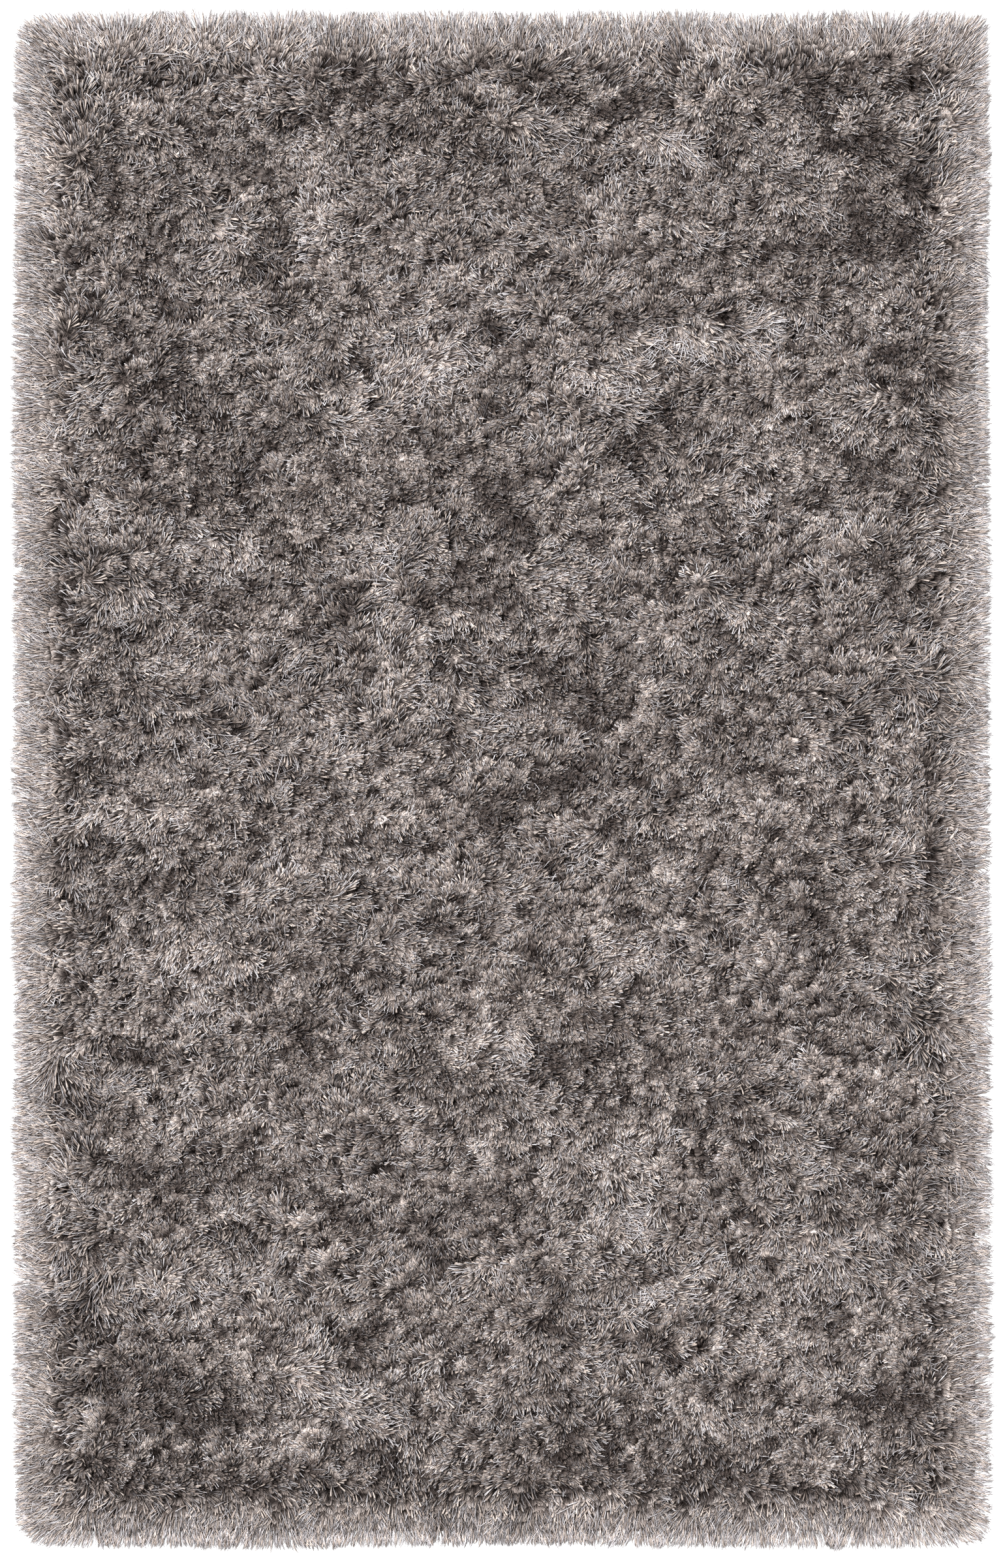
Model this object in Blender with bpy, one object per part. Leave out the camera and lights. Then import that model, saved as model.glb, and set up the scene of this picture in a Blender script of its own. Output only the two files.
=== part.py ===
"""A shag rug that lies flat: long yarn pile tufted into a rectangular backing.

The pile and the backing that it is tufted into are one piece, as on the real rug: a slab with a
level underside and a lumpy top, which rolls down towards its rim. Round the rim the outermost
yarn falls over the backing's edge in separate locks, whose tips lie on the floor.

Units are metres and +Z is up. The width runs along X and the length along Y. The origin is the
middle of the underside.
"""

import math
import random

import bmesh
import bpy
from mathutils import Vector, noise
from mathutils.geometry import delaunay_2d_cdt

# The backing: five feet by eight, which is what the pile's overhang leaves of the whole outline
BACKING_WIDTH = 1.524
BACKING_LENGTH = 2.438
BACKING_CORNER = 0.015

# The pile: 75 mm yarn that leans, so that it stands lower than it is long
PILE_HEIGHT = 0.056
RIM_HEIGHT = 0.030  # the top of the slab's wall, where the locks leave it
ROLL_WIDTH = 0.110  # the pile rolls down to the wall over this width

# Unevenness of the top: how far each layer rises or sinks, and how wide its lumps are
LUMP_LAYERS = (
    {"rise": 0.0085, "width": 0.210, "drift": 3.1},
    {"rise": 0.0075, "width": 0.100, "drift": 11.7},
)
LUMP_STEP = 0.047  # between neighbouring points of the top
LUMP_JITTER = 0.009

# Mounds, and partings with a rise below zero, that show from a step away, in millimetres
SWELLS = (
    {"x": -300, "y": 955, "radius": 120, "rise": 8},
    {"x": 280, "y": 1045, "radius": 80, "rise": 7},
    {"x": -245, "y": 1125, "radius": 60, "rise": -9},
    {"x": 620, "y": 950, "radius": 90, "rise": -7},
    {"x": -125, "y": 635, "radius": 110, "rise": 8},
    {"x": -30, "y": 440, "radius": 60, "rise": -11},
    {"x": 290, "y": 695, "radius": 150, "rise": 8},
    {"x": 205, "y": 530, "radius": 60, "rise": -8},
    {"x": -700, "y": 130, "radius": 34, "rise": -9},
    {"x": -180, "y": 250, "radius": 90, "rise": 7},
    {"x": 40, "y": -10, "radius": 70, "rise": -8},
    {"x": -700, "y": -265, "radius": 40, "rise": -9},
    {"x": -520, "y": -305, "radius": 100, "rise": 7},
    {"x": -95, "y": -240, "radius": 45, "rise": -11},
    {"x": -10, "y": -435, "radius": 90, "rise": 7},
    {"x": 205, "y": -660, "radius": 110, "rise": 8},
    {"x": 235, "y": -925, "radius": 50, "rise": -11},
    {"x": -255, "y": -1020, "radius": 90, "rise": 8},
    {"x": -590, "y": -1000, "radius": 70, "rise": -8},
    {"x": 60, "y": -1135, "radius": 60, "rise": -6},
)

# The locks at the rim
LOCKS_ACROSS = 53  # along each short side
LOCKS_ALONG = 87  # along each long side
LOCKS_ROUND_CORNER = 3
LOCK_SHARE = 0.80  # of the pitch that a lock's foot takes, so that the locks stand apart
LOCK_TOP_SHARE = 0.60  # of the foot that the lock's top takes
LOCK_SWAY = 0.0075  # how far a tip may swing along the rim
SWAY_WAVE_WIDTH = 0.140
OVERHANG = 0.037  # how far the usual lock reaches past the backing's edge
OVERHANG_SCATTER = 0.0030  # from one lock to the next
SCATTER_SEED = 20
# A lock's cross-sections from root to tip: how far out, how wide, and how high
LOCK_SECTIONS = (
    {"out": 0.00, "wide": 1.00, "high": 1.00},
    {"out": 0.52, "wide": 0.92, "high": 0.66},
    {"out": 1.00, "wide": 0.45, "high": 0.22},
)
# Where the rim swells or draws in, in millimetres: the place along the side as x or y, how wide,
# and how much further out the locks reach there
RIM_BULGES = {
    "right": (
        {"at": 765, "width": 230, "reach": -4.5},
        {"at": -845, "width": 260, "reach": 5},
    ),
    "back": (
        {"at": -135, "width": 35, "reach": -4},
        {"at": 27, "width": 70, "reach": 2},
        {"at": 190, "width": 35, "reach": -4.5},
        {"at": 462, "width": 60, "reach": 5},
    ),
    "left": (
        {"at": 1030, "width": 90, "reach": 3},
        {"at": 818, "width": 80, "reach": -4.5},
        {"at": 106, "width": 130, "reach": -4},
        {"at": -290, "width": 60, "reach": 2},
        {"at": -739, "width": 90, "reach": 2.5},
        {"at": -1161, "width": 90, "reach": 5},
    ),
    "front": (
        {"at": -379, "width": 110, "reach": 5},
        {"at": 0, "width": 150, "reach": -4.5},
        {"at": 136, "width": 40, "reach": -4},
        {"at": 489, "width": 90, "reach": 7},
    ),
}
# The sides anticlockwise, each with how far the locks of the corner at its end stretch
SIDES = (
    {"name": "right", "along": (0, 1), "locks": LOCKS_ALONG, "corner_stretch": 1.22},
    {"name": "back", "along": (-1, 0), "locks": LOCKS_ACROSS, "corner_stretch": 1.00},
    {"name": "left", "along": (0, -1), "locks": LOCKS_ALONG, "corner_stretch": 0.98},
    {"name": "front", "along": (1, 0), "locks": LOCKS_ACROSS, "corner_stretch": 1.22},
)

YARN_COLOUR = (0.345, 0.305, 0.292, 1.0)


class Station:
    """A lock's place at the rim: the middle of its root, the way out, and how wide a share it has.

    A lock on a side has a straight share of the edge. One on a corner has a sector, so that it
    widens outwards.
    """

    def __init__(self, middle, out, straight=0.0, sector=0.0, reach=OVERHANG):
        self.middle = middle
        self.out = out
        self.along = Vector((-out.y, out.x))
        self.straight = straight
        self.sector = sector
        self.reach = reach

    def width(self, distance):
        """How much of the rim the lock has to itself this far out."""
        return self.straight + 2 * (BACKING_CORNER + distance) * math.tan(self.sector / 2)

    def root(self, share):
        """A point of the backing's edge, at this share of half the lock's width from its middle."""
        if not self.sector:
            return self.middle + self.along * self.straight / 2 * share
        centre = self.middle - self.out * BACKING_CORNER
        angle = math.atan2(self.out.y, self.out.x) + self.sector / 2 * share
        return centre + Vector((math.cos(angle), math.sin(angle))) * BACKING_CORNER


def clear_scene():
    """Removes whatever the scene holds."""
    for thing in list(bpy.data.objects):
        bpy.data.objects.remove(thing)


def inside_rim(x, y):
    """How far a point lies inside the backing's rounded outline; negative outside it."""
    over_x = abs(x) - (BACKING_WIDTH / 2 - BACKING_CORNER)
    over_y = abs(y) - (BACKING_LENGTH / 2 - BACKING_CORNER)
    past_corner = math.hypot(max(over_x, 0), max(over_y, 0))
    return BACKING_CORNER - past_corner - min(max(over_x, over_y), 0)


def bell(distance, width):
    """1 in the middle, falling to almost nothing at twice the width."""
    return math.exp(-((distance / width) ** 2))


def swell(x, y):
    """The rise of the mounds, less the depth of the partings, at a point of the top."""
    return sum(
        place["rise"] / 1000 * bell(math.hypot(1000 * x - place["x"], 1000 * y - place["y"]), place["radius"])
        for place in SWELLS
    )


def lumps(x, y):
    """The small unevenness of the pile's top at a point."""
    return sum(
        layer["rise"] * noise.noise(Vector((x / layer["width"], y / layer["width"], layer["drift"])))
        for layer in LUMP_LAYERS
    )


def pile_top(x, y):
    """The height of the pile's top: a quarter-round roll at the rim, then level with lumps."""
    run = min(max(inside_rim(x, y) / ROLL_WIDTH, 0.0), 1.0)
    roll = math.sqrt(1 - (1 - run) ** 2)
    level = RIM_HEIGHT + (PILE_HEIGHT - RIM_HEIGHT) * roll
    return level + (0.35 + 0.65 * roll) * lumps(x, y) + roll * swell(x, y)


def rim_stations():
    """Every lock's station, anticlockwise from the +X side's front end."""
    half_width, half_length = BACKING_WIDTH / 2, BACKING_LENGTH / 2
    stations = []
    for side in SIDES:
        along = Vector(side["along"])
        out = Vector((along.y, -along.x))
        middle = Vector((out.x * half_width, out.y * half_length))
        half_run = (half_length if along.y else half_width) - BACKING_CORNER
        pitch = 2 * half_run / side["locks"]
        for i in range(side["locks"]):
            root = middle + along * ((i + 0.5) * pitch - half_run)
            place = 1000 * (root.y if along.y else root.x)
            bulges = sum(
                bulge["reach"] / 1000 * bell(place - bulge["at"], bulge["width"])
                for bulge in RIM_BULGES[side["name"]]
            )
            stations.append(Station(root, out, straight=pitch, reach=OVERHANG + bulges))
        centre = middle + along * half_run - out * BACKING_CORNER
        sector = math.pi / 2 / LOCKS_ROUND_CORNER
        first = math.atan2(out.y, out.x)
        reach = OVERHANG * side["corner_stretch"]
        for i in range(LOCKS_ROUND_CORNER):
            angle = first + sector * (i + 0.5)
            fan = Vector((math.cos(angle), math.sin(angle)))
            root = centre + fan * BACKING_CORNER
            stations.append(Station(root, fan, sector=sector, reach=reach))
    return stations


def lock_sections(station, reach, sway):
    """The lock's sections from root to tip: each its foot left and right, then its top right and left.

    Left is the clockwise side. All feet are level with the slab's underside.
    """
    tall = pile_top(*station.middle)
    sections = []
    for part in LOCK_SECTIONS:
        distance = reach * part["out"]
        if distance == 0:
            foot_left, foot_right = (station.root(side * LOCK_SHARE) for side in (-1, 1))
            top_left, top_right = (station.root(side * LOCK_SHARE * LOCK_TOP_SHARE) for side in (-1, 1))
        else:
            centre = station.middle + station.out * distance + station.along * sway * part["out"] ** 2
            foot = station.along * station.width(distance) / 2 * LOCK_SHARE * part["wide"]
            foot_left, foot_right = centre - foot, centre + foot
            top_left, top_right = centre - foot * LOCK_TOP_SHARE, centre + foot * LOCK_TOP_SHARE
        high = tall * part["high"]
        sections.append(
            [
                Vector((*foot_left, 0.0)),
                Vector((*foot_right, 0.0)),
                Vector((*top_right, high)),
                Vector((*top_left, high)),
            ]
        )
    return sections


def lock_shapes(stations):
    """Every lock's sections, with lengths and sway as uneven as a real rim's."""
    scatter = random.Random(SCATTER_SEED)
    shapes = []
    for station in stations:
        slow_sway = noise.noise(Vector((*station.middle / SWAY_WAVE_WIDTH, 0.0)))
        reach = station.reach + scatter.uniform(-1, 1) * OVERHANG_SCATTER
        sway = LOCK_SWAY * (1.4 * slow_sway + scatter.uniform(-0.35, 0.35))
        shapes.append(lock_sections(station, reach, sway))
    return shapes


def top_points(stations):
    """Points of the top inside its rim: one row close to the rim, then a staggered, uneven field."""
    points = []
    for station in stations:
        point = station.middle - station.out * 0.6 * LUMP_STEP
        if inside_rim(*point) > 0.55 * LUMP_STEP and not station.sector:
            points.append(point)
    row_gap = LUMP_STEP * math.sqrt(3) / 2
    rows = int(BACKING_LENGTH / row_gap)
    columns = int(BACKING_WIDTH / LUMP_STEP) + 1
    for row in range(-rows // 2, rows // 2 + 1):
        for column in range(-columns // 2, columns // 2 + 2):
            x = (column - 0.5 * (row % 2)) * LUMP_STEP
            y = row * row_gap
            push = noise.noise_vector(Vector((9 * x, 9 * y, 1.7)))
            point = Vector((x + push.x * LUMP_JITTER, y + push.y * LUMP_JITTER))
            if inside_rim(*point) > 1.1 * LUMP_STEP:
                points.append(point)
    return points


def add_locks(mesh, shapes):
    """Makes the locks and the strips of wall between them; returns the slab's two rims, low and high."""
    underside, crest = [], []
    for sections in shapes:
        rings = [[mesh.verts.new(point) for point in corners] for corners in sections]
        for near, far in zip(rings, rings[1:]):
            for i in range(4):
                j = (i + 1) % 4
                mesh.faces.new((near[i], far[i], far[j], near[j]))
        mesh.faces.new(rings[-1])
        foot_left, foot_right, top_right, top_left = rings[0]
        underside += [foot_left, foot_right]
        crest += [top_left, top_right]
    for i in range(len(shapes)):
        right = 2 * i + 1
        next_left = (right + 1) % len(underside)
        mesh.faces.new((underside[right], underside[next_left], crest[next_left], crest[right]))
    return underside, crest


def add_top(mesh, crest, points):
    """Spans the slab's top from its rim over the lumpy field."""
    rim = [vertex.co.xy for vertex in crest]
    flat, _, triangles, sources, _, _ = delaunay_2d_cdt(rim + points, [], [list(range(len(rim)))], 1, 1e-6)
    placed = []
    for point, came_from in zip(flat, sources):
        if came_from and came_from[0] < len(rim):
            placed.append(crest[came_from[0]])
        else:
            placed.append(mesh.verts.new((*point, pile_top(*point))))
    for corners in triangles:
        mesh.faces.new([placed[i] for i in corners])


def centre_on_origin(mesh):
    """Moves the mesh so that its outline's box is centred on the origin."""
    xs = [vertex.co.x for vertex in mesh.verts]
    ys = [vertex.co.y for vertex in mesh.verts]
    middle = Vector(((min(xs) + max(xs)) / 2, (min(ys) + max(ys)) / 2, 0.0))
    bmesh.ops.translate(mesh, verts=mesh.verts, vec=-middle)


def yarn_material():
    """The taupe yarn: matt, with the slight sheen of a synthetic fibre."""
    material = bpy.data.materials.new("taupe_yarn")
    material.use_nodes = True
    shader = material.node_tree.nodes["Principled BSDF"]
    shader.inputs["Base Color"].default_value = YARN_COLOUR
    shader.inputs["Roughness"].default_value = 0.75
    shader.inputs["Metallic"].default_value = 0.0
    material.diffuse_color = YARN_COLOUR
    return material


def make_shag_pile():
    """The rug: the lumpy slab and the locks fused to its wall, as one closed solid."""
    stations = rim_stations()
    mesh = bmesh.new()
    underside, crest = add_locks(mesh, lock_shapes(stations))
    mesh.faces.new(list(reversed(underside)))
    add_top(mesh, crest, top_points(stations))
    centre_on_origin(mesh)
    bmesh.ops.recalc_face_normals(mesh, faces=mesh.faces)
    data = bpy.data.meshes.new("shag_pile")
    mesh.to_mesh(data)
    mesh.free()
    data.shade_smooth()
    data.set_sharp_from_angle(angle=math.radians(50))
    data.materials.append(yarn_material())
    rug = bpy.data.objects.new("shag_pile", data)
    bpy.context.scene.collection.objects.link(rug)
    return rug


clear_scene()
make_shag_pile()
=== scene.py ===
"""The looks of a shag rug that lies on a pale floor, seen from straight above.

The rug is a thin woven backing, the dense lower pile on it as one lumpy mat, and the strands:
thick matt taupe ones with blunt tips, thin shiny silver slivers, and longer single silver hairs.
Every strand is a closed tube with three sides. They grow in tufts, and the tufts in clumps, that
lean as one. The lay of the pile comes from slow noise and from a table of the combed strokes,
partings and hollows that show in the photograph. At the rim the strands fan outwards and fall over
the backing's edge.

Units are metres and +Z is up. The frame's solid gives the pile's height and its rim's reach. How
light the pile is at a point, which is painted into its colours as light and shade, is counted
from 0, which is the usual, and rim is 1 at the backing's edge and 0 well inside it.
"""

import math
from collections import namedtuple

import bpy
import numpy as np
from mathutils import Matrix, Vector
from mathutils.bvhtree import BVHTree
from mathutils.kdtree import KDTree


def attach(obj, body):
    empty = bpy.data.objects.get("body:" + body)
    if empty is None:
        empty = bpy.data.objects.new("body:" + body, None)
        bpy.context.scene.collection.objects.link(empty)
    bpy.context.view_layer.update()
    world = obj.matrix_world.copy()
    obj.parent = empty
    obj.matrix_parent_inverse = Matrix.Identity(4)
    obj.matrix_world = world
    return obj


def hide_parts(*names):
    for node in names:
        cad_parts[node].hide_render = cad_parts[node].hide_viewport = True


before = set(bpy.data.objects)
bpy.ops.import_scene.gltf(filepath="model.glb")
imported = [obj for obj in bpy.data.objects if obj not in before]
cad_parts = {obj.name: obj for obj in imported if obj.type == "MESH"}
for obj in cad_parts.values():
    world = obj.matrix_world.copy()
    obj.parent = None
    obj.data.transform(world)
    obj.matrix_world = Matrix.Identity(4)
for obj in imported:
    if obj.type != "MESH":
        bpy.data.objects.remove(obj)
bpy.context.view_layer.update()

MM = 0.001
SEED = 7

# The backing
BACKING_WIDTH = 1.524
BACKING_LENGTH = 2.438
BACKING_CORNER = 0.015
BACKING_THICKNESS = 0.003

# The lower pile under the strands
MAT_SHARE = 0.78  # of the pile's height
MAT_OVERHANG = 0.013  # past the backing's edge
MAT_CORNER = 0.030  # the radius of its corners
MAT_EDGE = 0.004  # its height at its edge
MAT_ROLL = 0.080  # how far inside the backing's edge it begins to fall
MAT_STEP = 0.0090  # between its points
MAT_RELIEF = 0.010  # the height of its lumps
MAT_LUMPS = (-1.6, 0.6)  # how low and high they go, as shares of that
MAT_ROUGHNESS = 0.0012
MAT_POCKET_DEPTH = 0.012
MAT_FRONT_LIGHT = 2.4  # painted light: how much lighter a lump is at its front
MAT_SIDE_SHADE = 0.8  # and painted shade: how much darker it is all round
MAT_RIM_SHADE = 1.6  # how much darker it is at the rim
MAT_POCKET_SHADE = 3  # and in the pockets

# Light and shade that are painted into the colours
MEAN_LIGHT = 0.47  # the share of full brightness at the usual light
LIGHT_STEP = 0.26  # what one step of light adds to that
RIM_LIGHT = 2.3  # how much lighter the pile is painted at the rim, where its strands lie flat to the light
STROKE_LIGHT = 1.1  # of a stroke with a light of 1
TUFT_LIGHT = 2.5  # painted light, for each pile's height that a tuft is higher than usual; lower ones lie in shade
TUFT_LIGHT_SPREAD = 0.5
CLUMP_LIGHT_SPREAD = 0.4
TUFT_SHADE = 1.9  # painted shade: how much lighter a tuft is a pitch further to its front

# The rim
USUAL_OVERHANG = 0.037
RIM_ROLL = 0.055  # how far inside the backing's edge the pile's top begins to fall
FALL_POWER = 0.6  # of the curve by which they fall
WALL_HEIGHT = 0.030  # of the solid's slab at its edge
RIM_TIP = 0.9  # the place on a usual strand whose shade a rim strand's tip has
RIM_OPEN = 0.55  # how much of a usual strand's shades it runs through
RIM_WIDTH = 0.070  # strands rooted nearer the edge than this lie outwards
RIM_YARN_WIDTH = 0.030  # those nearer than this are the rim's own, thinner yarns
RIM_FAN = 1.3  # how strongly the rim's strands fan out
RIM_FAN_PITCH = 0.066  # along the edge, between the pockets that they fan out from
RIM_FAN_DEPTH = 0.050  # of those pockets, inside the backing's edge
RIM_FAN_SHIFT = 0.012  # how far off that depth they may be
RIM_POCKET = 0.012  # the radius of those pockets
RIM_CALM = 0.7  # how much less the clumps turn the strands there
TIP_REACH = 0.010  # how far past the outline the longest strands go
REACH_BLUR = 0.05  # how far along the edge the reach of the rim is evened out
CORNER_FAN = 0.16  # from the sides, where the way out begins to turn
CORNER_RADII = {(-1, 1): 0.050, (1, 1): 0.026, (-1, -1): 0.055, (1, -1): 0.030}

# Clumps and tufts. Both are wider across the rug than along it.
WIDER = 1.3
SITE_SHIFT = 0.45  # of the pitch, how far one may be from its place in the grid
CLUMP_PITCH = 62 * MM
CLUMP_TURN = 34  # degrees
POCKET_RADII = (0.004, 0.010)  # of the gaps in the middle of clumps
POCKET_SHARE = 0.6  # of the clumps has one
TUFT_PITCH = 25 * MM
TUFT_TURN = 26  # degrees
TUFT_HEIGHTS = (0.80, 1.08)  # as shares of the pile's
USUAL_HEIGHT = 0.94
TUFT_GATHER = 0.30  # how far a tuft's roots draw together
TUFT_BACK = 0.30  # how far behind its middle they do, as a share of the pitch
TUFT_CURL = 12 * MM  # how far its strands bend to one side
CURL_RUN = 0.045  # strands that run less far than this bend less
TUFT_DOME = 0.10  # how much lower its outer strands are, as a share of the pile's height
FLAT_SPREAD = 0.09  # of how flat the clumps and tufts lie
BUNCH_PITCH = 8 * MM  # of the bunches of strands with much the same tone
BUNCH_RISE = 0.07  # how much higher the light ones stand
BUNCH_TONE = 0.7  # how far the bunches' tones differ

# The strands
ROOT_SINK = 0.010  # how deep they start in the lower pile
ROOT_OVERHANG = 0.020  # how far past the backing's edge they may start
RADIUS_SPREAD = 0.18  # as a share of the radius
LENGTH_RANGE = (0.88, 1.08)  # as shares of the length
UPRIGHT_RUN = 0.10  # the share of its length that an upright strand reaches to the side
FLAT_RUN = 0.86  # and what one that lies flat adds to that
BEND_PLACE = 0.45  # of the way from root to tip
BEND_HEIGHT = 0.75  # of the rise from root to tip
BEND_CLEAR = 0.004  # the rim's strands bend at least this far above the lower pile
BEND_CLEAR_SPREAD = 0.010
SHORTEST_RUN = 0.006
RUN_SPREAD = 3 * MM  # how unevenly the rim's outline stops them
STRAY_FLAT = 0.07  # how much flatter than its tuft a strand may lie
TOP_LIMIT = 0.076  # no tip rises above this
CELL_MARGIN = 0.14  # round each strand's share of the map

# The forms of a strand: where its rings are along it, how wide they are, and whether it ends in a
# point or is cut off at its last ring. A ring's points are shares of the radius, across and over.
Form = namedtuple("Form", "places widths pointed")
GRAIN = Form((0.93,), (1.0,), True)
SLIVER = Form((1.0,), (1.0,), False)
NEEDLE = Form((0.60,), (1.0,), True)
HAIR = Form((0.40, 0.85), (1.0, 0.75), True)
SECTION = ((0.0, 1.0), (-0.87, -0.5), (0.87, -0.5))

# The yarns, inside and at the rim. Strips is how many pieces a yarn is made as, wander how far a
# strand's bend may be off, splay how far its tuft opens, and stray how many degrees it turns from
# its tuft. Height is in shares of the pile's height, lift what a light strand gains on that, and
# short how far it stays behind the others at the rim's outline.
Yarn = namedtuple(
    "Yarn",
    "name material strips rim pitch radius length wander splay stray height lift short form seed",
)
YARNS = (
    Yarn(
        name="taupe_yarn", material="taupe", strips=4, rim=False, form=GRAIN, seed=11,
        pitch=8.5 * MM, radius=2.0 * MM, length=40 * MM, wander=3 * MM, splay=0.2, stray=18,
        height=(0.90, 1.04), lift=-0.05, short=3 * MM,
    ),
    Yarn(
        name="taupe_rim", material="taupe", strips=1, rim=True, form=NEEDLE, seed=12,
        pitch=5.9 * MM, radius=1.0 * MM, length=45 * MM, wander=3.5 * MM, splay=0.2, stray=10,
        height=(0.88, 1.04), lift=-0.02, short=3 * MM,
    ),
    Yarn(
        name="silver_twist", material="twist", strips=4, rim=False, form=SLIVER, seed=31,
        pitch=7.0 * MM, radius=0.85 * MM, length=46 * MM, wander=2.0 * MM, splay=0.3, stray=19,
        height=(0.92, 1.06), lift=0.09, short=1 * MM,
    ),
    Yarn(
        name="silver_rim_twist", material="twist", strips=1, rim=True, form=NEEDLE, seed=32,
        pitch=5.7 * MM, radius=0.8 * MM, length=50 * MM, wander=4.0 * MM, splay=0.3, stray=12,
        height=(0.90, 1.06), lift=0.04, short=1 * MM,
    ),
    Yarn(
        name="silver_yarn", material="single", strips=1, rim=False, form=HAIR, seed=23,
        pitch=34 * MM, radius=0.7 * MM, length=84 * MM, wander=9.0 * MM, splay=0.8, stray=20,
        height=(0.97, 1.12), lift=0.05, short=0.0,
    ),
    Yarn(
        name="silver_rim_yarn", material="single", strips=1, rim=True, form=HAIR, seed=24,
        pitch=13 * MM, radius=0.6 * MM, length=60 * MM, wander=7.0 * MM, splay=0.3, stray=18,
        height=(0.97, 1.12), lift=0.05, short=0.0,
    ),
)

# The slow noise of the lay: how strong it is, and how wide and high its lumps are
BROAD_TURN = (1.6 * math.pi, 0.34, 0.22)
FINE_TURN = (0.6 * math.pi, 0.12, 0.085)
MEAN_FLAT = 0.26
BROAD_FLAT = (0.14, 0.20, 0.10)
FINE_FLAT = (0.12, 0.08, 0.05)
BROAD_LIGHT = (0.25, 0.24, 0.13)
FINE_LIGHT = (0.5, 0.085, 0.05)
NOISE_PULL = 0.8  # how strongly the noise turns the pile its way
RIM_PULL = 1.6  # and how strongly the rim turns it outwards
RIM_FLAT = 0.95
RIM_LEAN = (0.35, 0.25, 0.25)
RIM_REACH = (0.35, 0.11, 0.11)
MEAN_RIM_REACH = 1.15  # of the rim's width
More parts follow.
